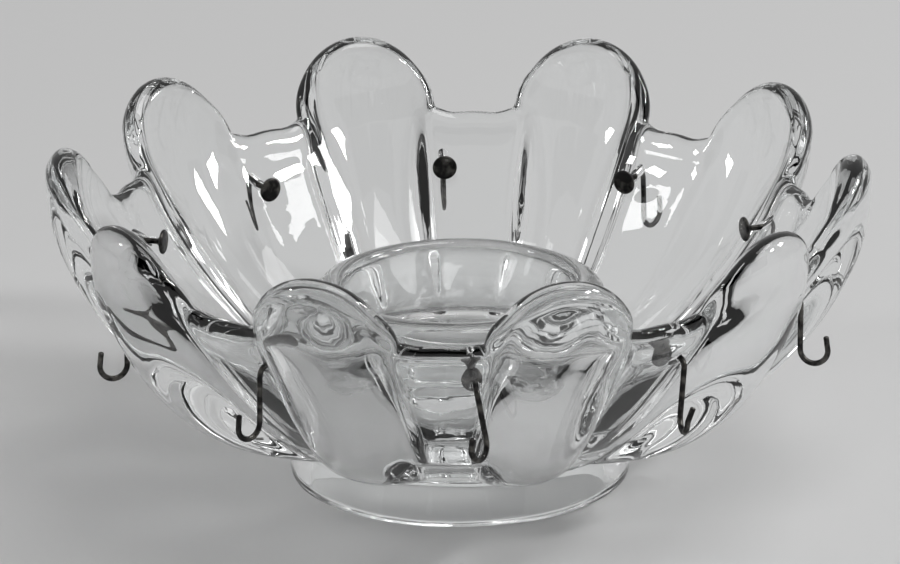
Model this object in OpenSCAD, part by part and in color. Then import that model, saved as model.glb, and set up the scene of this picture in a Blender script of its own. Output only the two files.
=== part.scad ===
// Petal-rimmed pressed glass dish with a candle collar and a ring of hanging hook pins.
// Millimetres, +Z up. The origin is the centre of the foot ring's underside.
// Petal 0 points along +X. The first valley, and its pin, follow it counter-clockwise.

/* [Petals] */
// Number of petals, with one valley and one pin between each pair
petals = 10; // [8:1:10]
// Half of the angle that one petal spans at the axis
petal_half_angle = 11.3; // [10.5:0.1:11.5]
// How far a petal bulges out from the bowl's own curve
petal_bulge = 7; // [6:0.1:8.5]
// Radius of the rim at a petal's tip
tip_r = 67.2; // [65:0.1:68]
// Height of the rim at a petal's tip
tip_z = 56.3; // [54:0.1:58]
// Thickness of the wall, measured level at the rim
wall = 2.7; // [2.4:0.1:3.2]

/* [Collar] */
// Radius of the candle seat inside the collar
seat_r = 19.8; // [18:0.1:20.5]
// Height of the seat's floor
seat_floor_z = 20.6; // [19:0.1:22]
// Height of the top of the collar's rounded lip
collar_z = 33.8; // [33:0.1:35]
// Radius of the hole through the seat's floor
drain_r = 12; // [8:0.5:14]

/* [Foot] */
// Outer radius of the foot ring
foot_r = 28.8; // [28.5:0.1:29.2]
// Radius of the hollow under the foot, at the table
hollow_r = 24.5; // [23:0.5:25]
// Height of the hollow's ceiling
hollow_z = 14; // [10:0.5:15]

/* [Hook pins] */
// Thickness of the pin's wire
wire_d = 1.2; // [1:0.1:1.4]
// Diameter of the pin's flat head
head_d = 4.2; // [3.6:0.1:4.4]
// Diameter of the hole drilled for a pin
hole_d = 1.9; // [1.6:0.1:2]
// Height of the pin holes above the table
hole_z = 36.3; // [36:0.1:37]
// Fall of a pin from its hole to the middle of its hook
hook_drop = 9.3; // [8:0.1:10]
// Distance between the middles of the hook's two arms
hook_gap = 4.7; // [4:0.1:5.5]
// Straight length of the hook's free arm
hook_arm = 2.3; // [1.5:0.1:3.5]

/* [Hidden] */
$fn = 64;

// One petal and one valley
pitch = 360 / petals;
// The pins sit off the middle of their valleys, nearer to the next petal
hole_offset = 5.3;
hole_angle = pitch / 2 + hole_offset;

// The bowl's curve, foot to rim, as the four control points of a Bezier: [radius, height]
outer_curve = [[31, 9.5], [45, 15], [57.6, 35], [tip_r, tip_z]];
inner_curve = [[31, 15.5], [42, 19.5], [56.7, 36.5], [tip_r - wall, tip_z]];
// Share of the curve below the rim of a valley
valley_t = 0.78;
// Share of the curve at which a petal has its full bulge, and the bulge it starts with
full_bulge_t = 0.55;
first_bulge = 0.12;
// Rounding where a petal meets a valley
corner = 0.12;
// The hollow of a petal is narrower than its outside, and ends below its tip
hollow_half_angle = petal_half_angle - 2.8;
hollow_tip_t = 0.95;

// Columns and rows of the petal wall's mesh
columns_per_petal = 5;
outer_rows = 9;
inner_rows = 8;
// The petal wall reaches in to this radius, inside the floor
hub_r = 26;

// Lip of the collar
lip_r = 1.8;
shoulder = [[32.5, 14], [30.8, 20], [29.8, 24], [28.8, 26.5], [27, 28.9], [25.2, 30.9]];
foot_top_z = 11;
foot_chamfer = 0.8;

// Pins: where the head's outer face, the bend and the hook lie, from the dish's axis
head_r = head_d / 2;
head_h = 0.7;
head_face_x = 51.8;
bend_r = 1.6;
shank_x = 58.4;

function pin_name(i) = str("hook_pin_", i < 10 ? "0" : "", i);

// --- petal wall ------------------------------------------------------------------------

function bezier(p, t) =
    pow(1 - t, 3) * p[0] + 3 * t * pow(1 - t, 2) * p[1] + 3 * t * t * (1 - t) * p[2] + pow(t, 3) * p[3];

function slope(p, t) =
    pow(1 - t, 2) * (p[1] - p[0]) + 2 * t * (1 - t) * (p[2] - p[1]) + t * t * (p[3] - p[2]);

function outward(v) = [v[1], -v[0]] / norm(v);

function smooth(x) = x * x * (3 - 2 * x);

// The positive part of x, with its corner rounded
function soft_positive(x) = (x + sqrt(x * x + corner * corner)) / 2;

// A petal is a quartic dome: full at its middle line, and nothing at its edge and its tip
function bulge(t, phi, half_angle, tip_t) =
    let (grown = first_bulge + (1 - first_bulge) * pow(smooth(min(t / full_bulge_t, 1)), 0.8))
    let (to_tip = max(0, (t - valley_t) / (tip_t - valley_t)))
    let (rho2 = pow(phi / half_angle, 2) + to_tip * to_tip)
    petal_bulge * grown * soft_positive(1 - rho2 * rho2);

function wall_point(curve, t, phi, half_angle, tip_t) =
    bezier(curve, t) + bulge(t, phi, half_angle, tip_t) * outward(slope(curve, t));

// The rim is a half ellipse over each petal and level across each valley
function rim_t(phi) = valley_t + (1 - valley_t) * sqrt(max(0, 1 - pow(phi / petal_half_angle, 2)));

// One column of the wall, up the outside, over the rim and down the inside, then the hub
function column(phi) = concat(
    [for (i = [0:outer_rows])
        wall_point(outer_curve, rim_t(phi) * sin(90 * i / outer_rows), phi, petal_half_angle, 1)],
    [for (i = [inner_rows:-1:0])
        wall_point(inner_curve, rim_t(phi) * sin(90 * i / inner_rows), phi, hollow_half_angle, hollow_tip_t)],
    [[hub_r, inner_curve[0][1]], [hub_r, outer_curve[0][1]]]);

// Angles of the columns over half a pitch, closest together at the petal's steep side
half_columns = concat(
    [for (i = [1:columns_per_petal]) petal_half_angle * sin(90 * i / columns_per_petal)],
    [petal_half_angle * 1.12]);

column_angles = concat([0], half_columns, [pitch / 2],
    [for (i = [len(half_columns) - 1:-1:0]) pitch - half_columns[i]]);

// Angle from the middle of the nearest petal
function from_petal(phi) = phi > pitch / 2 ? phi - pitch : phi;

module petal_wall() {
    loops = [for (p = [0:petals - 1], phi = column_angles)
        [for (q = column(from_petal(phi)))
            [q[0] * cos(phi + p * pitch), q[0] * sin(phi + p * pitch), q[1]]]];
    n = len(loops);
    m = len(loops[0]);
    polyhedron(
        points = [for (loop = loops, q = loop) q],
        faces = [for (c = [0:n - 1], k = [0:m - 1])
            let (a = c * m + k, b = c * m + (k + 1) % m)
            let (d = ((c + 1) % n) * m + k, e = ((c + 1) % n) * m + (k + 1) % m)
            each [[a, b, e], [a, e, d]]],
        convexity = 10);
}

// --- foot, floor and collar -----------------------------------------------------------

module core() {
    lip_x = seat_r + lip_r;
    lip_z = collar_z - lip_r;
    rotate_extrude($fn = 96)
        polygon(concat(
            [[hollow_r, 0], [foot_r - foot_chamfer, 0], [foot_r, foot_chamfer], [foot_r, foot_top_z]],
            shoulder,
            [for (a = [45:27:180]) [lip_x + lip_r * cos(a), lip_z + lip_r * sin(a)]],
            [[seat_r, seat_floor_z], [drain_r, seat_floor_z], [drain_r, hollow_z],
             [hollow_r - 3.5, hollow_z]]));
}

module pin_holes() {
    for (i = [0:petals - 1])
        rotate([0, 0, i * pitch + hole_angle])
            translate([0, 0, hole_z])
                rotate([0, 90, 0])
                    translate([0, 0, 48])
                        cylinder(d = hole_d, h = 16);
}

module glass_dish() {
    color([0.85, 0.9, 0.92, 0.45])
        difference() {
            union() {
                petal_wall();
                core();
            }
            pin_holes();
        }
}

// --- hook pins ------------------------------------------------------------------------

// A bend of the wire, swept from angle a through b degrees about its middle in the XZ plane
module wire_bend(centre, radius, a, b) {
    translate([centre[0], 0, centre[1]])
        rotate([90, 0, 0])
            rotate([0, 0, a])
                rotate_extrude(angle = b)
                    translate([radius, 0])
                        circle(d = wire_d, $fn = 32);
}

module wire_down(x, z, length) {
    translate([x, 0, z - length])
        cylinder(d = wire_d, h = length, $fn = 32);
}

module hook_pin(i) {
    hook_r = hook_gap / 2;
    bend_x = shank_x - bend_r;
    hook_z = hole_z - hook_drop;
    color("dimgray")
        rotate([0, 0, (i - 1) * pitch + hole_angle]) {
            translate([head_face_x - head_h, 0, hole_z])
                rotate([0, 90, 0])
                    cylinder(r = head_r, h = head_h);
            translate([head_face_x - head_h / 2, 0, hole_z])
                rotate([0, 90, 0])
                    cylinder(d = wire_d, h = bend_x - head_face_x + head_h / 2, $fn = 32);
            wire_bend([bend_x, hole_z - bend_r], bend_r, 0, 90);
            wire_down(shank_x, hole_z - bend_r, hook_drop - bend_r);
            wire_bend([shank_x + hook_r, hook_z], hook_r, 180, 180);
            wire_down(shank_x + hook_gap, hook_z + hook_arm, hook_arm);
        }
}

glass_dish();
for (i = [1:petals])
    hook_pin(i);
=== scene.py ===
"""Looks of a pressed-glass drip dish with hook pins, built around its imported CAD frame.

The dish is one clear moulding: ten deep petals with valleys between them, a candle collar and a
foot ring. A bent wire pin hangs through each valley. Sizes are in millimetres in the classes below
and turn to metres where a mesh is made.
"""

import logging
import math
from dataclasses import dataclass, field
from enum import Enum
from typing import Sequence

import bmesh
import bpy
import numpy as np
from mathutils import Euler, Matrix, Vector, noise


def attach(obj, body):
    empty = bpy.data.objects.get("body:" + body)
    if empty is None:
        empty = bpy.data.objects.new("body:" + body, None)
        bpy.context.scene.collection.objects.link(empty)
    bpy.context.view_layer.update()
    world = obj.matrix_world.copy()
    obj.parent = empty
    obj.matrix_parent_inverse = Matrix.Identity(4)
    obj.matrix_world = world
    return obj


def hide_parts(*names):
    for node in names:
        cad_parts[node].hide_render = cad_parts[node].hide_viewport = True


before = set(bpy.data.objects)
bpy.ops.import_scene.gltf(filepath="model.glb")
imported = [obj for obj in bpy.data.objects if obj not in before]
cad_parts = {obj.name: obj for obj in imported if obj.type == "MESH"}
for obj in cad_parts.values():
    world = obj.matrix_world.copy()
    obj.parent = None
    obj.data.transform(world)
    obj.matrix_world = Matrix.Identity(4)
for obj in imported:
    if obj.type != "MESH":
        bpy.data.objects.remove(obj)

LOG = logging.getLogger("drip_dish")
MM = 0.001
# Degrees round a wire's rounded end at which the sweep has a ring
END_RINGS = (30, 60, 80)
Profile = list[tuple[float, float]]
Faces = list[list[int]]


# --- small helpers -----------------------------------------------------------------------


def linear(hex_colour: str) -> tuple[float, float, float, float]:
    """Turn an sRGB hex colour into the linear RGBA that shaders take.

    Args:
        hex_colour: Six hex digits after a hash, such as "#c8c8c8".

    Returns:
        Linear red, green and blue with an alpha of 1.
    """
    parts = (int(hex_colour[i : i + 2], 16) / 255 for i in (1, 3, 5))
    r, g, b = (c / 12.92 if c <= 0.04045 else ((c + 0.055) / 1.055) ** 2.4 for c in parts)
    return (r, g, b, 1.0)


def add_node(
    tree: bpy.types.NodeTree,
    kind: str,
    settings: dict[str, object] | None = None,
    inputs: dict[str | int, object] | None = None,
) -> bpy.types.Node:
    """Add one shader node with its settings, its input values and its input links.

    Args:
        tree: The node tree that the node joins.
        kind: The node's type, such as "ShaderNodeTexNoise".
        settings: Attributes to set on the node.
        inputs: Socket name or index to a value, or to the output socket that feeds it.

    Returns:
        The new node.
    """
    node = tree.nodes.new(kind)
    for name, value in (settings or {}).items():
        setattr(node, name, value)
    for name, value in (inputs or {}).items():
        if isinstance(value, bpy.types.NodeSocket):
            tree.links.new(value, node.inputs[name])
        else:
            node.inputs[name].default_value = value
    return node


def new_material(name: str) -> tuple[bpy.types.Material, bpy.types.NodeTree]:
    """Make an empty node material.

    Args:
        name: The material's name.

    Returns:
        The material and its node tree.
    """
    material = bpy.data.materials.new(name)
    material.use_nodes = True
    material.node_tree.nodes.clear()
    return material, material.node_tree


def per_mm(size_mm: float) -> float:
    """Return the texture scale, in cells to the metre, whose cells are of a size in millimetres."""
    return 1 / (size_mm * MM)


def mesh_object(name: str, verts: np.ndarray, faces: Sequence[Sequence[int]]) -> bpy.types.Object:
    """Make a smooth-shaded mesh object from points in millimetres.

    Args:
        name: Name of the object and its mesh.
        verts: An array of points, one row each, in millimetres.
        faces: Corner indices of each face.

    Returns:
        The object, linked to the scene.
    """
    mesh = bpy.data.meshes.new(name)
    mesh.from_pydata((np.asarray(verts) * MM).tolist(), [], [list(f) for f in faces])
    mesh.validate()
    mesh.polygons.foreach_set("use_smooth", [True] * len(mesh.polygons))
    piece = bpy.data.objects.new(name, mesh)
    bpy.context.scene.collection.objects.link(piece)
    return piece


def flat_sheet(name: str, size: tuple[float, float]) -> bpy.types.Object:
    """Make a flat rectangle about the origin.

    Args:
        name: Name of the object.
        size: Its width and depth, in metres.

    Returns:
        The sheet, facing up.
    """
    w, h = (s / 2 / MM for s in size)
    corners = np.array([(-w, -h, 0), (w, -h, 0), (w, h, 0), (-w, h, 0)])
    return mesh_object(name, corners, [(0, 1, 2, 3)])


def bake_modifiers(piece: bpy.types.Object) -> None:
    """Replace a piece's mesh by the result of its modifiers.

    Args:
        piece: The object whose modifiers are applied.
    """
    bpy.context.view_layer.update()
    evaluated = piece.evaluated_get(bpy.context.evaluated_depsgraph_get())
    mesh = bpy.data.meshes.new_from_object(evaluated)
    old = piece.data
    piece.modifiers.clear()
    piece.data = mesh
    mesh.name = piece.name
    bpy.data.meshes.remove(old)


def dress(piece: bpy.types.Object, material: bpy.types.Material) -> None:
    """Give a piece one material."""
    piece.data.materials.clear()
    piece.data.materials.append(material)


def aimed(place: Sequence[float], target: Sequence[float], axis: str) -> Euler:
    """Return the rotation that points an axis, such as "-Z", from a place towards a target."""
    return (Vector(target) - Vector(place)).to_track_quat(axis, "Y").to_euler()


# --- finishes ----------------------------------------------------------------------------


@dataclass(frozen=True)
class PressedGlass:
    """Clear soda-lime glass, pressed in an iron mould and fire-polished.

    It gives the eye sharp reflections and bent views of what is behind it. The mould's chill leaves a
    slow flow and a fine shiver in the skin, a few seeds dull it in points, and the foot is scuffed
    where it stands.
    """

    ior: float = 1.52
    tint: str = "#fdfefe"
    flow_mm: float = 9.0
    flow_strength: float = 0.05
    shiver_mm: float = 2.4
    shiver_strength: float = 0.012
    seed_mm: float = 3.2
    seed_size_mm: float = 0.16
    seed_roughness: float = 0.3
    scuff_mm: float = 0.7
    scuff_roughness: float = 0.32

    def material(self) -> bpy.types.Material:
        """Return the glass: wholly clear, so that only its shape and its skin are seen."""
        material, tree = new_material("pressed_clear_glass")
        place = add_node(tree, "ShaderNodeTexCoord").outputs["Object"]
        shader = add_node(
            tree,
            "ShaderNodeBsdfPrincipled",
            inputs={
                "Base Color": linear(self.tint),
                "Roughness": self.roughness(tree, place),
                "IOR": self.ior,
                "Transmission Weight": 1.0,
                "Normal": self.skin(tree, place),
            },
        )
        add_node(tree, "ShaderNodeOutputMaterial", inputs={"Surface": shader.outputs["BSDF"]})
        return material

    def skin(self, tree: bpy.types.NodeTree, place: bpy.types.NodeSocket) -> bpy.types.NodeSocket:
        """Add the skin: the mould's slow flow with a finer shiver on it.

        Args:
            tree: The glass's node tree.
            place: Socket that gives the place on the glass.

        Returns:
            Socket that gives the skin's normal.
        """
        normal = None
        for size, strength in ((self.flow_mm, self.flow_strength), (self.shiver_mm, self.shiver_strength)):
            waves = add_node(
                tree,
                "ShaderNodeTexNoise",
                inputs={"Vector": place, "Scale": per_mm(size), "Detail": 1.0},
            )
            bump = add_node(
                tree,
                "ShaderNodeBump",
                inputs={"Height": waves.outputs["Fac"], "Strength": strength, "Distance": MM},
            )
            if normal is not None:
                tree.links.new(normal, bump.inputs["Normal"])
            normal = bump.outputs["Normal"]
        return normal

    def roughness(self, tree: bpy.types.NodeTree, place: bpy.types.NodeSocket) -> bpy.types.NodeSocket:
        """Add the roughness: none, but for seeds in the skin and the scuffed underside of the foot.

        Args:
            tree: The glass's node tree.
            place: Socket that gives the place on the glass.

        Returns:
            Socket that gives the roughness.
        """
        cells = add_node(
            tree,
            "ShaderNodeTexVoronoi",
            inputs={"Vector": place, "Scale": per_mm(self.seed_mm)},
        )
        seed_reach = self.seed_size_mm / self.seed_mm
        seeds = self.fade(tree, cells.outputs["Distance"], seed_reach, self.seed_roughness)
        height = add_node(tree, "ShaderNodeSeparateXYZ", inputs={"Vector": place})
        scuffs = self.fade(tree, height.outputs["Z"], self.scuff_mm * MM, self.scuff_roughness)
        both = add_node(
            tree,
            "ShaderNodeMath",
            settings={"operation": "MAXIMUM"},
            inputs={0: seeds, 1: scuffs},
        )
        return both.outputs["Value"]

    @staticmethod
    def fade(
        tree: bpy.types.NodeTree, distance: bpy.types.NodeSocket, reach: float, roughness: float
    ) -> bpy.types.NodeSocket:
        """Add a roughness that fades out over a distance.

        Args:
            tree: The glass's node tree.
            distance: Socket that gives the distance.
            reach: The distance at which the roughness is gone.
            roughness: The roughness at no distance.

        Returns:
            Socket that gives the faded roughness.
        """
        ramp = add_node(
            tree,
            "ShaderNodeMapRange",
            inputs={
                "Value": distance,
                "From Min": 0.0,
                "From Max": reach,
                "To Min": roughness,
                "To Max": 0.0,
            },
        )
        return ramp.outputs["Result"]


@dataclass(frozen=True)
class AgedWire:
    """Drawn steel wire, darkened with age.

    It gives the eye a dull near-black metal, with soft patches where handling has rubbed it brighter and
    glossier. The die's draw lines are too fine to show singly and read as a faint grain in the gloss.
    """

    dark: str = "#2b2a2a"
    rubbed: str = "#6a6864"
    patch_mm: float = 1.6
    rubbed_from: float = 0.45
    rubbed_to: float = 0.72
    dull: float = 0.42
    glossy: float = 0.24
    draw_line_mm: float = 0.12
    draw_line_depth_mm: float = 0.02
    draw_line_strength: float = 0.2

    def material(self) -> bpy.types.Material:
        """Return the wire: dark metal, satin where it is tarnished and glossier where rubbed."""
        material, tree = new_material("aged_drawn_wire")
        place = add_node(tree, "ShaderNodeTexCoord").outputs["Object"]
        patches = add_node(
            tree,
            "ShaderNodeTexNoise",
            inputs={"Vector": place, "Scale": per_mm(self.patch_mm), "Detail": 4.0},
        )
        wear = add_node(
            tree,
            "ShaderNodeMapRange",
            inputs={
                "Value": patches.outputs["Fac"],
                "From Min": self.rubbed_from,
                "From Max": self.rubbed_to,
            },
        )
        colour = add_node(
            tree,
            "ShaderNodeMix",
            settings={"data_type": "RGBA"},
            inputs={0: wear.outputs["Result"], 6: linear(self.dark), 7: linear(self.rubbed)},
        )
        gloss = add_node(
            tree,
            "ShaderNodeMapRange",
            inputs={"Value": wear.outputs["Result"], "To Min": self.dull, "To Max": self.glossy},
        )
        grain = add_node(
            tree,
            "ShaderNodeTexNoise",
            inputs={"Vector": place, "Scale": per_mm(self.draw_line_mm)},
        )
        bump = add_node(
            tree,
            "ShaderNodeBump",
            inputs={
                "Height": grain.outputs["Fac"],
                "Strength": self.draw_line_strength,
                "Distance": self.draw_line_depth_mm * MM,
            },
        )
        shader = add_node(
            tree,
            "ShaderNodeBsdfPrincipled",
            inputs={
                "Base Color": colour.outputs[2],
                "Metallic": 1.0,
                "Roughness": gloss.outputs["Result"],
                "Normal": bump.outputs["Normal"],
            },
        )
        add_node(tree, "ShaderNodeOutputMaterial", inputs={"Surface": shader.outputs["BSDF"]})
        return material


@dataclass(frozen=True)
class Paper:
    """Matt studio paper or card of one colour.

    It gives the eye an even tone with no shine, and a mottle of matted fibres that is only just felt.
    """

    name: str
    colour: str
    fibre_mm: float = 1.43
    fibre_depth_mm: float = 0.1
    fibre_strength: float = 0.05
    roughness: float = 0.9
    specular: float = 0.1

    def material(self) -> bpy.types.Material:
        """Return the paper: rough, with the faint mottle of its fibres."""
        material, tree = new_material(self.name)
        place = add_node(tree, "ShaderNodeTexCoord").outputs["Object"]
        fibre = add_node(
            tree,
            "ShaderNodeTexNoise",
            inputs={"Vector": place, "Scale": per_mm(self.fibre_mm), "Detail": 2.0},
        )
        bump = add_node(
            tree,
            "ShaderNodeBump",
            inputs={
                "Height": fibre.outputs["Fac"],
                "Strength": self.fibre_strength,
                "Distance": self.fibre_depth_mm * MM,
            },
        )
        shader = add_node(
            tree,
            "ShaderNodeBsdfPrincipled",
            inputs={
                "Base Color": linear(self.colour),
                "Roughness": self.roughness,
                "Specular IOR Level": self.specular,
                "Normal": bump.outputs["Normal"],
            },
        )
        add_node(tree, "ShaderNodeOutputMaterial", inputs={"Surface": shader.outputs["BSDF"]})
        return material


# --- the glass dish ----------------------------------------------------------------------


class Side(Enum):
    """The two faces of the petal wall."""

    OUTER = "outer"
    INNER = "inner"


@dataclass
class PetalWall:
    """The wall of petals and valleys, as a bowl's curve with a dome pushed out at each petal.

    Places along the bowl's curve run from 0 at the foot to 1 at a petal's tip. Angles are in degrees.
    """

    petals: int = 10
    half_angle: float = 10.7
    # The bowl's curve: its Bezier points at the foot and between, and the tip of a petal, (radius, height)
    outer_foot: tuple[tuple[float, float], ...] = ((31.0, 9.5), (45.0, 15.0), (57.6, 35.0))
    inner_foot: tuple[tuple[float, float], ...] = ((31.0, 15.5), (42.0, 19.5), (56.7, 36.5))
    tip: tuple[float, float] = (69.4, 53.75)
    wall: float = 2.7
    # A petal's dome grows from the foot to its full bulge, and slopes away again to the tip
    bulge: float = 7.5
    first_bulge: float = 0.12
    full_bulge_t: float = 0.55
    growth_ease: float = 0.8
    slope_from_t: float = 0.51
    slope_power: float = 3.0
    side_power: float = 3.0
    corner: float = 0.12
    narrowest: float = 0.02
    # A petal's hollow is shallower than its dome, and its tip is thick and round
    hollow_bulge: float = 1.8
    hollow_half_angle: float = 10.2
    hollow_ease: float = 1.5
    tip_thickening: float = 3.4
    # The rim of a valley: a bead inside, fillets to the petals and a low hump between them
    valley_t: float = 0.78
    valley_bead: float = 1.3
    bead_t: float = 0.12
    bead_from: float = 0.8
    bead_over: float = 0.3
    fillet: float = 0.03
    fillet_width: float = 2.0
    hump: float = 0.012
    hump_width: float = 2.4

    def curve(self, side: Side) -> np.ndarray:
        """Return the four Bezier points of the bowl's curve, foot to rim, for one side."""
        if side is Side.OUTER:
            return np.array([*self.outer_foot, self.tip])
        return np.array([*self.inner_foot, (self.tip[0] - self.wall, self.tip[1])])

    def swell(self, side: Side, t: float, phi: float) -> float:
        """Return how far the wall stands out from the bowl's curve.

        Args:
            side: Outer or inner face.
            t: Place along the bowl's curve.
            phi: Angle from the petal's middle.

        Returns:
            The distance in millimetres.
        """
        x = min(t / self.full_bulge_t, 1.0)
        grown = self.first_bulge + (1 - self.first_bulge) * (x * x * (3 - 2 * x)) ** self.growth_ease
        to_tip = max(0.0, (t - self.valley_t) / (1 - self.valley_t))
        narrow = max(self.narrowest, math.sqrt(max(0.0, 1 - to_tip**2)))
        lean = max(0.0, (t - self.slope_from_t) / (1 - self.slope_from_t))
        along = grown * (1 - lean**self.slope_power)
        if side is Side.INNER:
            edge = max(0.0, 1 - (phi / (self.hollow_half_angle * narrow)) ** 2)
            dome = self.hollow_bulge * along * edge**self.hollow_ease
            return dome - self.tip_thickening * to_tip**2 - self.bead(t, phi) * (1 - to_tip**2)
        edge = 1 - abs(phi / (self.half_angle * narrow)) ** self.side_power
        edge = max(0.0, edge + math.hypot(edge, self.corner)) / 2
        return self.bulge * along * edge

    def bead(self, t: float, phi: float) -> float:
        """Return how far the bead inside a valley's rim stands in from the wall.

        Args:
            t: Place along the bowl's curve.
            phi: Angle from the petal's middle.

        Returns:
            The distance in millimetres.
        """
        off_petal = abs(phi) / self.half_angle - self.bead_from
        in_valley = min(1.0, max(0.0, off_petal / self.bead_over))
        near_rim = min(1.0, max(0.0, 1 - (self.valley_t - t) / self.bead_t))
        return self.valley_bead * in_valley * near_rim**2

    def top(self, phi: float) -> float:
        """Return the place of the valleys' rim, filleted to the petals and humped between them.

        Args:
            phi: Angle from the petal's middle.

        Returns:
            The place along the bowl's curve.
        """
        off_edge = (abs(phi) - self.half_angle) / self.fillet_width
        off_middle = (abs(phi) - 180 / self.petals) / self.hump_width
        return self.valley_t + self.fillet * math.exp(-(off_edge**2)) + self.hump * math.exp(-(off_middle**2))

    def point(self, side: Side, t: float, phi: float) -> np.ndarray:
        """Return a point of the wall.

        Args:
            side: Outer or inner face.
            t: Place along the bowl's curve.
            phi: Angle from the petal's middle.

        Returns:
            The point's radius and height, in millimetres.
        """
        p = self.curve(side)
        s = 1 - t
        base = s**3 * p[0] + 3 * s * s * t * p[1] + 3 * s * t * t * p[2] + t**3 * p[3]
        along = s * s * (p[1] - p[0]) + 2 * s * t * (p[2] - p[1]) + t * t * (p[3] - p[2])
        out = np.array([along[1], -along[0]]) / math.hypot(*along)
        return base + self.swell(side, t, phi) * out


@dataclass
class GlassDish:
    """The whole glass moulding, as one closed skin."""

    wall: PetalWall = field(default_factory=PetalWall)
    # Lines of the cage: across a petal, up its round head, up the wall below, and over a valley
    across: tuple[float, ...] = (0.0, 0.3, 0.55, 0.76, 0.9, 1.0)
    up_petal: tuple[float, ...] = (0.2, 0.4, 0.6, 0.77, 0.91, 1.0)
    up_wall: int = 8
    inner_start: float = 0.1
    valley_angles: tuple[float, ...] = (12.1, 14.2, 18.0, 21.8, 23.9)
    smoothing: int = 2
    # How far the rim's middle line stands proud, as a share of the wall's thickness there
    rim_rise: float = 0.44
    # The turned parts: foot ring, hollow under it, hole through the floor, candle seat and collar
    foot_r: float = 28.8
    hollow_r: float = 24.0
    hollow_z: float = 14.0
    floor_hole_r: float = 12.0
    seat_r: float = 19.8
    seat_z: float = 20.6
    collar_z: float = 33.8
    # The pin holes
    hole_r: float = 0.95
    hole_z: float = 36.3
    hole_angle: float = 23.3
    hole_span: tuple[float, float] = (48.0, 64.0)
    hole_sides: int = 28
    sharp_angle: float = 50.0
    # The unevenness that fire polishing leaves
    ripple_mm: float = 13.0
    ripple_height: float = 0.12

    def columns(self) -> list[float]:
        """Return the signed places across a petal, -1 to 1."""
        return [-u for u in reversed(self.across[1:])] + list(self.across)

    def foot(self) -> Profile:
        """Return the foot's outline, from its neck under the bowl, round the ring, to the hollow's mouth."""
        r, inner = self.foot_r, self.hollow_r
        return [
            (r + 0.8, 9.1), (r + 0.1, 8.3), (r, 6.6), (r, 3.2), (r, 1.5), (r - 0.2, 0.4), (r - 1.2, 0.0),
            (r - 2.6, 0.0), (inner + 1.0, 0.0), (inner + 0.3, 0.5), (inner, 2.0),
        ]

    def hollow(self) -> Profile:
        """Return the outline of the hollow under the foot, up its side and in along its ceiling."""
        r, ceiling, hole = self.hollow_r, self.hollow_z, self.floor_hole_r
        return [
            (r - 1.4, 7.5), (r - 2.6, 12.6), (r - 3.6, ceiling - 0.1), (r - 5.5, ceiling),
            (hole + 3.0, ceiling), (hole + 0.9, ceiling), (hole + 0.1, ceiling + 0.5), (hole, ceiling + 2.0),
        ]

    def seat(self) -> Profile:
        """Return the outline of the candle seat, from the hole's upper edge out and up to the lip."""
        r, floor, hole = self.seat_r, self.seat_z, self.floor_hole_r
        return [
            (hole, floor - 1.8), (hole + 0.1, floor - 0.5), (hole + 1.0, floor), (hole + 4.0, floor),
            (r - 1.2, floor), (r - 0.2, floor + 0.4), (r, floor + 1.6), (r, floor + 5.9), (r, floor + 10.8),
        ]

    def collar(self) -> Profile:
        """Return the collar's outline, over its rounded lip and down its steep outside to the trough."""
        r, top = self.seat_r, self.collar_z
        return [
            (r + 0.1, top - 0.7), (r + 0.8, top), (r + 2.1, top), (r + 3.5, top - 0.5), (r + 4.6, top - 1.7),
            (r + 5.3, top - 3.6), (r + 5.9, top - 6.3), (r + 6.5, top - 9.0), (r + 7.1, top - 11.6),
            (r + 7.8, top - 13.9), (r + 9.5, top - 16.0), (r + 12.4, top - 16.9),
        ]

    def turned_outline(self) -> Profile:
        """Return the turned parts' whole outline, from under the bowl round to the trough's floor."""
        return self.foot() + self.hollow() + self.seat() + self.collar()

    def build(self) -> bpy.types.Object:
        """Build the dish's mesh: a cage of quads, smoothed, rippled and drilled.

        Returns:
            The dish.
        """
        cage = DishCage(self)
        dish = mesh_object("pressed_glass_dish", cage.points(), cage.faces)
        smooth = dish.modifiers.new("smooth", "SUBSURF")
        smooth.levels = smooth.render_levels = self.smoothing
        bake_modifiers(dish)
        self.ripple(dish)
        self.drill(dish)
        return dish

    def ripple(self, dish: bpy.types.Object) -> None:
        """Move the skin in and out a little, as fire polishing leaves it, and keep it off the table.

        Args:
            dish: The smoothed dish.
        """
        mesh = dish.data
        for vert, normal in zip(mesh.vertices, [v.normal.copy() for v in mesh.vertices]):
            place = vert.co / (self.ripple_mm * MM)
            vert.co += normal * (noise.noise(place) * self.ripple_height * MM)
            vert.co.z = max(vert.co.z, 0.0)
        mesh.update()

    def drill(self, dish: bpy.types.Object) -> None:
        """Cut the level pin holes through the valleys.

        Args:
            dish: The dish before it is drilled.
        """
        bits = bmesh.new()
        start, end = self.hole_span
        for i in range(self.wall.petals):
            turn = math.radians(i * 360 / self.wall.petals + self.hole_angle)
            place = (
                Matrix.Rotation(turn, 4, "Z")
                @ Matrix.Translation(Vector(((start + end) / 2, 0, self.hole_z)) * MM)
                @ Matrix.Rotation(math.pi / 2, 4, "Y")
            )
            bmesh.ops.create_cone(
                bits, cap_ends=True, segments=self.hole_sides, radius1=self.hole_r * MM,
                radius2=self.hole_r * MM, depth=(end - start) * MM, matrix=place,
            )
        mesh = bpy.data.meshes.new("drill_bits")
        bits.to_mesh(mesh)
        bits.free()
        drill = bpy.data.objects.new("drill_bits", mesh)
        bpy.context.scene.collection.objects.link(drill)
        cut = dish.modifiers.new("drill", "BOOLEAN")
        cut.operation = "DIFFERENCE"
        cut.solver = "MANIFOLD"
        cut.object = drill
        bake_modifiers(dish)
        bpy.data.objects.remove(drill)
        dish.data.polygons.foreach_set("use_smooth", [True] * len(dish.data.polygons))
        dish.data.set_sharp_from_angle(angle=math.radians(self.sharp_angle))


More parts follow.
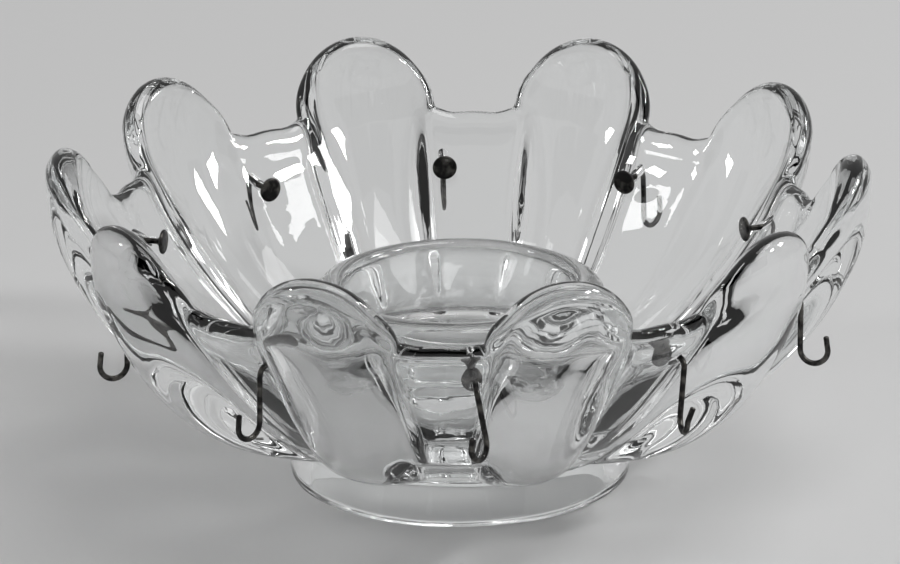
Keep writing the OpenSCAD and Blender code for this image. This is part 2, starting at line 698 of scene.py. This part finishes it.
@dataclass
class WallFace:
    """One face of the wall: its rings of point indices, foot to valley rim, and the loop along its rim."""

    rings: list[list[int]]
    rim: list[int]


class DishCage:
    """The control cage of the dish. Its quads run along each petal's rim, so the rim rounds evenly."""

    def __init__(self, dish: GlassDish) -> None:
        """Build every ring and patch of the cage.

        Args:
            dish: The dish whose sizes the cage takes.
        """
        self.dish = dish
        self.wall = dish.wall
        self.pitch = 360 / self.wall.petals
        self.places: list[np.ndarray] = []
        self.faces: list[tuple[int, ...]] = []
        across = dish.columns()
        self.last_column = len(across) - 1
        self.angles = [u * self.wall.half_angle for u in across] + list(dish.valley_angles)
        outer = self.face(Side.OUTER, 0.0, flip=False)
        inner = self.face(Side.INNER, dish.inner_start, flip=True)
        self.join_rims(outer.rim, inner.rim)
        self.turn(outer.rings[0], inner.rings[0])

    def points(self) -> np.ndarray:
        """Return the cage's points, in millimetres."""
        return np.array(self.places)

    def add(self, radius: float, height: float, angle: float) -> int:
        """Add a point given by radius, height and angle in degrees, and return its index."""
        a = math.radians(angle)
        self.places.append(np.array([radius * math.cos(a), radius * math.sin(a), height]))
        return len(self.places) - 1

    def strip(self, low: list[int], high: list[int], flip: bool, closed: bool = True) -> None:
        """Add the quads between two lines of points.

        Args:
            low: Indices of the first line's points.
            high: Indices of the second line's points, as many as the first's.
            flip: Whether the quads are turned over.
            closed: Whether the lines are loops.
        """
        for c in range(len(low) if closed else len(low) - 1):
            d = (c + 1) % len(low)
            corners = (low[c], low[d], high[d], high[c])
            self.faces.append(tuple(reversed(corners)) if flip else corners)

    def near(self, phi: float) -> float:
        """Return an angle as it is from the middle of the nearest petal."""
        return phi if phi <= self.pitch / 2 else phi - self.pitch

    def on_wall(self, side: Side, t: float, phi: float, petal: int) -> int:
        """Add a point of the wall.

        Args:
            side: Outer or inner face.
            t: Place along the bowl's curve.
            phi: Angle from the petal's middle, in degrees.
            petal: The petal's number, from 0.

        Returns:
            The point's index.
        """
        radius, height = self.wall.point(side, t, self.near(phi))
        return self.add(radius, height, petal * self.pitch + phi)

    def on_head(self, side: Side, u: float, v: float, petal: int) -> int:
        """Add a point of a petal's round head, which is a square laid onto a half disc.

        Args:
            side: Outer or inner face.
            u: Place across the petal, -1 to 1.
            v: Place up the head, 0 to 1.
            petal: The petal's number, from 0.

        Returns:
            The point's index.
        """
        phi = self.wall.half_angle * u * math.sqrt(1 - v * v / 2)
        top = self.wall.top(phi)
        return self.on_wall(side, top + (1 - top) * v * math.sqrt(1 - u * u / 2), phi, petal)

    def face(self, side: Side, start: float, flip: bool) -> WallFace:
        """Build one face of the wall.

        Args:
            side: Outer or inner face.
            start: Place along the bowl's curve at which the face starts.
            flip: Whether its quads are turned over.

        Returns:
            The face's rings and its rim.
        """
        count = self.dish.up_wall
        rings = []
        for share in (i / count for i in range(count + 1)):
            ring = []
            for petal in range(self.wall.petals):
                for phi in self.angles:
                    t = start + (self.wall.top(self.near(phi)) - start) * share
                    ring.append(self.on_wall(side, t, phi, petal))
            rings.append(ring)
        for low, high in zip(rings, rings[1:]):
            self.strip(low, high, flip)
        rim: list[int] = []
        per_petal = len(self.angles)
        for petal in range(self.wall.petals):
            first = petal * per_petal
            head = [rings[-1][first : first + self.last_column + 1]]
            for v in self.dish.up_petal:
                head.append([self.on_head(side, u, v, petal) for u in self.dish.columns()])
            for low, high in zip(head, head[1:]):
                self.strip(low, high, flip, closed=False)
            rim += [line[0] for line in head]
            rim += head[-1][1:-1]
            rim += [line[-1] for line in reversed(head)]
            rim += rings[-1][first + self.last_column + 1 : first + per_petal]
        return WallFace(rings, rim)

    def join_rims(self, outer: list[int], inner: list[int]) -> None:
        """Join the two faces over the rim, with a middle line that stands a little proud.

        Args:
            outer: The outer face's rim.
            inner: The inner face's rim.
        """
        a = np.array([self.places[i] for i in outer])
        b = np.array([self.places[i] for i in inner])
        along = np.roll(a, -1, axis=0) - np.roll(a, 1, axis=0)
        proud = np.cross(along, b - a)
        proud /= np.linalg.norm(proud, axis=1)[:, None]
        proud *= np.sign(proud[:, 2].mean())
        middle = []
        for low, high, out in zip(a, b, proud):
            rise = self.dish.rim_rise * np.linalg.norm(high - low)
            self.places.append((low + high) / 2 + out * rise)
            middle.append(len(self.places) - 1)
        self.strip(outer, middle, flip=False)
        self.strip(middle, inner, flip=False)

    def turn(self, outer: list[int], inner: list[int]) -> None:
        """Add the foot, the seat and the collar as rings between the two faces' first rings.

        Args:
            outer: The outer face's first ring.
            inner: The inner face's first ring.
        """
        rings = [outer]
        for radius, height in self.dish.turned_outline():
            rings.append([
                self.add(radius, height, petal * self.pitch + phi)
                for petal in range(self.wall.petals)
                for phi in self.angles
            ])
        rings.append(inner)
        for first, second in zip(rings, rings[1:]):
            self.strip(first, second, flip=True)


# --- the hook pins -----------------------------------------------------------------------


@dataclass(frozen=True)
class HandBend:
    """How one pin's wire was bent by hand: its hook's twist, its lean and its arm's opening, in degrees."""

    twist: float = 0.0
    lean: float = 0.0
    open_by: float = 0.0


HAND_BENDS = (
    HandBend(twist=4, lean=2),
    HandBend(twist=-6, lean=-2),
    HandBend(twist=8, lean=1),
    HandBend(twist=-10, lean=3),
    HandBend(twist=5),
    HandBend(twist=-4, lean=1, open_by=-6),
    HandBend(twist=-13, lean=-1, open_by=4),
    HandBend(twist=-35, lean=10, open_by=8),
    HandBend(twist=-25, lean=-6, open_by=4),
    HandBend(twist=2, lean=-2, open_by=-8),
)


@dataclass
class HookPin:
    """A wire pin: a flat head inside the dish, a shank through the glass and a J hook outside.

    It is drawn with its shank along X at no height, and build() puts it in its hole.
    """

    number: int
    bend: HandBend
    wire_r: float = 0.48
    wire_sides: int = 16
    end_round: float = 0.6
    head_r: float = 2.1
    head_h: float = 0.7
    head_sides: int = 40
    head_x: float = 52.3
    hole_z: float = 36.3
    shank_x: float = 59.05
    bend_r: float = 1.6
    drop: float = 9.3
    gap: float = 4.7
    arm: float = 2.3
    # Points of the middle line along each stretch of the wire
    shank_points: int = 8
    bend_points: int = 9
    drop_points: int = 8
    hook_points: int = 19
    arm_points: int = 5

    def centreline(self) -> list[Vector]:
        """Return the wire's middle line, head to tip.

        Returns:
            The points, in millimetres.
        """
        bend_x = self.shank_x - self.bend_r
        in_head = self.head_x - self.head_h / 2
        line = [Vector((x, 0, 0)) for x in np.linspace(in_head, bend_x, self.shank_points)]
        for a in np.radians(np.linspace(90, 0, self.bend_points)[1:]):
            line.append(Vector((bend_x + self.bend_r * math.cos(a), 0, self.bend_r * (math.sin(a) - 1))))
        return line + [self.twisted(p) for p in self.hook()]

    def hook(self) -> list[Vector]:
        """Return the drop, the hook and its free arm, from below the bend, in a wire without twist.

        Returns:
            The points, in millimetres from the top of the drop.
        """
        r = self.gap / 2
        line = [Vector((0, 0, z)) for z in np.linspace(-self.bend_r, -self.drop, self.drop_points)[1:]]
        for a in np.radians(np.linspace(180, 360, self.hook_points)[1:]):
            line.append(Vector((r + r * math.cos(a), 0, -self.drop + r * math.sin(a))))
        tilt = math.radians(self.bend.open_by)
        foot = line[-1]
        for z in np.linspace(0, self.arm, self.arm_points)[1:]:
            line.append(foot + Vector((z * math.sin(tilt), 0, z * math.cos(tilt))))
        return line

    def twisted(self, point: Vector) -> Vector:
        """Turn a point of the hook by the wire's twist, which grows down the drop.

        Args:
            point: A point of the hook without twist.

        Returns:
            The point in its place on the pin.
        """
        share = min(1.0, max(0.0, (-point.z - self.bend_r) / (self.drop - self.bend_r)))
        spin = Matrix.Rotation(math.radians(self.bend.twist) * share, 3, "Z")
        return Vector((self.shank_x, 0, 0)) + (spin @ point)

    def build(self, angle: float) -> bpy.types.Object:
        """Build the pin's mesh in its place.

        Args:
            angle: The angle of its hole round the dish, in degrees.

        Returns:
            The pin.
        """
        verts, faces = sweep(self.centreline(), self.wire_r, self.wire_sides, self.end_round)
        head, head_faces = self.head()
        faces += [[i + len(verts) for i in f] for f in head_faces]
        verts += head
        lean = Matrix.Rotation(math.radians(self.bend.lean), 4, "X")
        place = Matrix.Rotation(math.radians(angle), 4, "Z") @ Matrix.Translation((0, 0, self.hole_z)) @ lean
        return mesh_object(f"hook_pin_{self.number:02d}_wire", np.array([place @ v for v in verts]), faces)

    def head(self) -> tuple[list[Vector], Faces]:
        """Build the head: a flat button with rounded edges, upset from the wire with a short cone.

        Returns:
            The points, in millimetres, and the faces.
        """
        inner, outer = self.head_x - self.head_h, self.head_x
        # Place along the shank, and radius as a share of the head's own
        face = [(inner, 0.5), (inner, 0.78), (inner + 0.08, 0.93), (inner + 0.22, 1.0)]
        edge = [(outer - 0.25, 1.0), (outer - 0.1, 0.93)]
        cone = [(outer + 0.1, 0.6), (outer + 0.5, 0.3), (outer + 0.9, 0.2)]
        outline = face + edge + cone
        crown = 0.05
        steps = self.head_sides
        verts = [Vector((inner - crown, 0, 0))]
        for x, share in outline:
            for k in range(steps):
                a = math.tau * k / steps
                radius = self.head_r * share
                verts.append(Vector((x, radius * math.cos(a), radius * math.sin(a))))
        faces: Faces = [[0, 1 + k, 1 + (k + 1) % steps] for k in range(steps)]
        for ring in range(len(outline) - 1):
            for k in range(steps):
                a, b = 1 + ring * steps + k, 1 + ring * steps + (k + 1) % steps
                faces.append([a, a + steps, b + steps, b])
        last = 1 + (len(outline) - 1) * steps
        faces.append([last + k for k in range(steps)][::-1])
        return verts, faces


def sweep(line: list[Vector], radius: float, sides: int, end_round: float) -> tuple[list[Vector], Faces]:
    """Sweep a round section along a line, with a rounded far end.

    Args:
        line: The middle line's points.
        radius: Radius of the section.
        sides: Corners of the section.
        end_round: Length of the rounded end, as a share of the radius.

    Returns:
        The points and the faces of a closed tube.
    """
    path = [(p, radius) for p in line]
    ahead = (line[-1] - line[-2]).normalized()
    for a in np.radians(END_RINGS):
        path.append((line[-1] + ahead * radius * end_round * math.sin(a), radius * math.cos(a)))
    tangents = []
    for i in range(len(path)):
        before, after = path[max(0, i - 1)][0], path[min(len(path) - 1, i + 1)][0]
        tangents.append((after - before).normalized())
    normal = tangents[0].orthogonal().normalized()
    verts: list[Vector] = []
    for (centre, r), tangent, earlier in zip(path, tangents, [tangents[0]] + tangents):
        normal = earlier.rotation_difference(tangent) @ normal
        normal = (normal - tangent * normal.dot(tangent)).normalized()
        side = tangent.cross(normal)
        for k in range(sides):
            a = math.tau * k / sides
            verts.append(centre + (normal * math.cos(a) + side * math.sin(a)) * r)
    faces: Faces = []
    for ring in range(len(path) - 1):
        for k in range(sides):
            a, b = ring * sides + k, ring * sides + (k + 1) % sides
            faces.append([a, b, b + sides, a + sides])
    faces.append(list(range(sides))[::-1])
    faces.append([(len(path) - 1) * sides + k for k in range(sides)])
    return verts, faces


# --- the studio --------------------------------------------------------------------------


@dataclass(frozen=True)
class SoftBox:
    """An area lamp: where it stands, its size in metres, its power in watts and what it faces."""

    name: str
    place: tuple[float, float, float]
    size: tuple[float, float]
    watts: float
    aim: tuple[float, float, float] = (0.0, 0.0, 0.03)

    def build(self) -> bpy.types.Object:
        """Hang the lamp, out of the camera's direct sight.

        Returns:
            The lamp.
        """
        lamp = bpy.data.lights.new(self.name, "AREA")
        lamp.shape = "RECTANGLE"
        lamp.size, lamp.size_y = self.size
        lamp.energy = self.watts
        box = bpy.data.objects.new(self.name, lamp)
        box.location = self.place
        box.rotation_euler = aimed(self.place, self.aim, "-Z")
        box.visible_camera = False
        bpy.context.scene.collection.objects.link(box)
        return box


@dataclass(frozen=True)
class Card:
    """A flat card that stands outside the view: its middle, its size in metres and what it faces."""

    name: str
    place: tuple[float, float, float]
    size: tuple[float, float]
    aim: tuple[float, float, float] = (0.0, 0.0, 0.03)

    def build(self, material: bpy.types.Material) -> bpy.types.Object:
        """Stand the card up, where only the glass and the wire see it.

        Args:
            material: The card's finish.

        Returns:
            The card.
        """
        card = flat_sheet(self.name, self.size)
        card.location = self.place
        card.rotation_euler = aimed(self.place, self.aim, "Z")
        card.visible_camera = False
        card.visible_shadow = False
        card.visible_diffuse = False
        dress(card, material)
        return card


@dataclass
class Studio:
    """A pale paper floor, a pale room, soft boxes for the highlights and cards for the dark edges."""

    floor_size: tuple[float, float] = (6.0, 6.0)
    paper: str = "#d2d2d2"
    card: str = "#050505"
    room: str = "#c6c6c6"
    room_light: float = 0.55
    room_seen: float = 1.0

    def build(self) -> None:
        """Build the floor, the room's light, the lamps and the cards."""
        floor = flat_sheet("paper_floor", self.floor_size)
        dress(floor, Paper("pale_paper", self.paper).material())
        self.build_room()
        for box in self.boxes():
            box.build()
        dark = Paper("black_card", self.card).material()
        for card in self.cards():
            card.build(dark)

    def boxes(self) -> list[SoftBox]:
        """Return the lamps."""
        return [
            SoftBox("key_box", (1.1, -0.3, 0.98), (0.2, 0.13), 5.0),
            SoftBox("sun_box", (1.3, 0.25, 1.0), (0.3, 0.3), 6.5),
            SoftBox("left_box", (-1.1, -0.2, 0.8), (0.14, 0.1), 1.2),
            SoftBox("top_box", (0.5, -0.1, 1.8), (0.9, 0.9), 9.0),
        ]

    def cards(self) -> list[Card]:
        """Return the dark cards."""
        return [
            Card("card_left", (-1.5, -1.7, 1.2), (1.3, 1.3)),
            Card("card_right", (1.5, -1.7, 1.2), (1.3, 1.3)),
            Card("card_front", (0.0, -2.4, 1.3), (2.2, 1.5)),
        ]

    def build_room(self) -> None:
        """Set the world: a pale grey room, at its full tone where it is seen and dimmer as a light."""
        world = bpy.data.worlds.new("room")
        world.use_nodes = True
        tree = world.node_tree
        tree.nodes.clear()
        colour = linear(self.room)
        light = add_node(tree, "ShaderNodeBackground", inputs={"Color": colour, "Strength": self.room_light})
        seen = add_node(tree, "ShaderNodeBackground", inputs={"Color": colour, "Strength": self.room_seen})
        path = add_node(tree, "ShaderNodeLightPath")
        sight = path.outputs["Is Camera Ray"]
        for ray in ("Is Glossy Ray", "Is Transmission Ray"):
            either = add_node(
                tree,
                "ShaderNodeMath",
                settings={"operation": "MAXIMUM"},
                inputs={0: sight, 1: path.outputs[ray]},
            )
            sight = either.outputs["Value"]
        mix = add_node(
            tree,
            "ShaderNodeMixShader",
            inputs={0: sight, 1: light.outputs["Background"], 2: seen.outputs["Background"]},
        )
        add_node(tree, "ShaderNodeOutputWorld", inputs={"Surface": mix.outputs["Shader"]})
        bpy.context.scene.world = world


@dataclass
class Viewpoint:
    """The camera: a long lens a metre and a half away, looking down on the dish between two petals.

    Angles are in degrees, lengths in metres, and the lens and sensor in millimetres.
    """

    distance: float = 1.5
    elevation: float = 19.5
    turn: float = 2.8
    roll: float = -0.43
    lens: float = 356.0
    sensor: float = 36.0
    centre_height: float = 0.025
    aim: tuple[float, float] = (-0.0015, 0.0081)
    clip: tuple[float, float] = (0.05, 20.0)

    def build(self) -> bpy.types.Object:
        """Set the camera up and make it the scene's.

        Returns:
            The camera.
        """
        e, a = math.radians(self.elevation), math.radians(270 + self.turn)
        back = Vector((math.cos(e) * math.cos(a), math.cos(e) * math.sin(a), math.sin(e)))
        right = (-back).cross(Vector((0, 0, 1))).normalized()
        up = right.cross(-back)
        target = Vector((0, 0, self.centre_height)) + right * self.aim[0] + up * self.aim[1]
        basis = Matrix((right, up, back)).transposed().to_4x4()
        camera = bpy.data.cameras.new("camera")
        camera.lens = self.lens
        camera.sensor_width = self.sensor
        camera.clip_start, camera.clip_end = self.clip
        holder = bpy.data.objects.new("camera", camera)
        roll = Matrix.Rotation(math.radians(self.roll), 4, "Z")
        holder.matrix_world = Matrix.Translation(target + back * self.distance) @ basis @ roll
        bpy.context.scene.collection.objects.link(holder)
        bpy.context.scene.camera = holder
        return holder


def main() -> None:
    """Build the dish, its pins, the studio and the camera, and report each piece."""
    logging.basicConfig(level=logging.INFO)
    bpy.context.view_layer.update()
    bpy.context.scene.view_settings.view_transform = "Standard"
    Viewpoint().build()
    dish = GlassDish()
    glass = dish.build()
    dress(glass, PressedGlass().material())
    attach(glass, "dish")
    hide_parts("glass_dish")
    LOG.info("glass dish: %d faces", len(glass.data.polygons))
    wire = AgedWire().material()
    pitch = 360 / dish.wall.petals
    for number, bend in enumerate(HAND_BENDS, start=1):
        pin = HookPin(number, bend).build((number - 1) * pitch + dish.hole_angle)
        dress(pin, wire)
        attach(pin, f"pin_{number:02d}")
        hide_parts(f"hook_pin_{number:02d}")
        LOG.info("hook pin %d: %d faces", number, len(pin.data.polygons))
    Studio().build()


if __name__ == "__main__":
    main()
